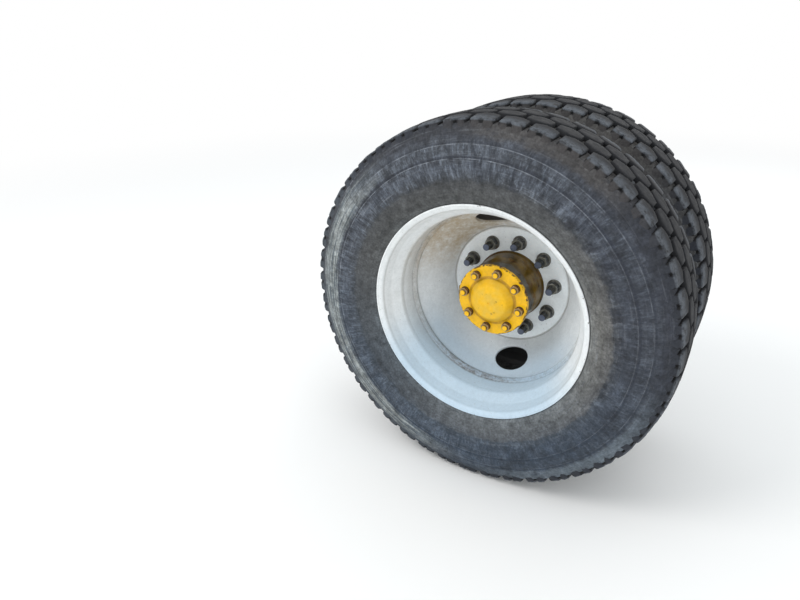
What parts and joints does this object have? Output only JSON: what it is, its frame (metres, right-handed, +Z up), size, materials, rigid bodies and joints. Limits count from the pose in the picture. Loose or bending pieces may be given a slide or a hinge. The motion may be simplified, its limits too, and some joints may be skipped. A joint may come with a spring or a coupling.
{
  "type": "truck twin rear wheel end",
  "caption": "Twin disc wheels with drive tyres on a hub, brake drum and flanged axle shaft, turning on the end of a truck's axle tube.",
  "frame": {"origin": "centre of the axle tube's inboard end, on the wheel's axis", "axes": "+Y inboard along the axle, -Y out of the truck's side, +X along the truck's side, +Z up"},
  "size_m": [1.098, 0.8525, 1.098],
  "materials": {
    "tyre_rubber": "dusty black rubber with scuffed sidewalls",
    "white_wheel": "off-white paint, dusty, chipped at the lip",
    "oily_casting": "oily dark casting with yellow overspray",
    "yellow_paint": "chrome yellow gloss paint",
    "dark_steel": "near black oxide, worn at the edges",
    "rusty_steel": "brown oxide with paint left in the corners",
    "drum_iron": "bare iron with a thin coat of rust",
    "axle_black": "chassis black, dusty",
    "shield_zinc": "black pressed steel, dusty",
    "valve_brass": "dull brass"
  },
  "bodies": {
    "axle": {"axle_tube": "axle_black", "brake_spider": "axle_black", "spider_bolts": "dark_steel", "upper_dust_shield": "shield_zinc", "lower_dust_shield": "shield_zinc", "shield_bolts": "dark_steel"},
    "wheel": {"outer_tyre": "tyre_rubber", "outer_rim": "white_wheel", "outer_disc": "white_wheel", "inner_tyre": "tyre_rubber", "inner_rim": "white_wheel", "inner_disc": "white_wheel", "valve_stems": "valve_brass", "hub": "oily_casting", "brake_drum": "drum_iron", "wheel_studs": "dark_steel", "wheel_nuts": "dark_steel", "axle_shaft": "yellow_paint", "flange_studs": "yellow_paint", "flange_nuts": "rusty_steel"}
  },
  "joints": [
    {"name": "wheel_spin", "type": "hinge", "parent": "axle", "child": "wheel", "pos_m": [0, -0.475, 0], "axis": [0, 1, 0], "continuous": true}
  ]
}
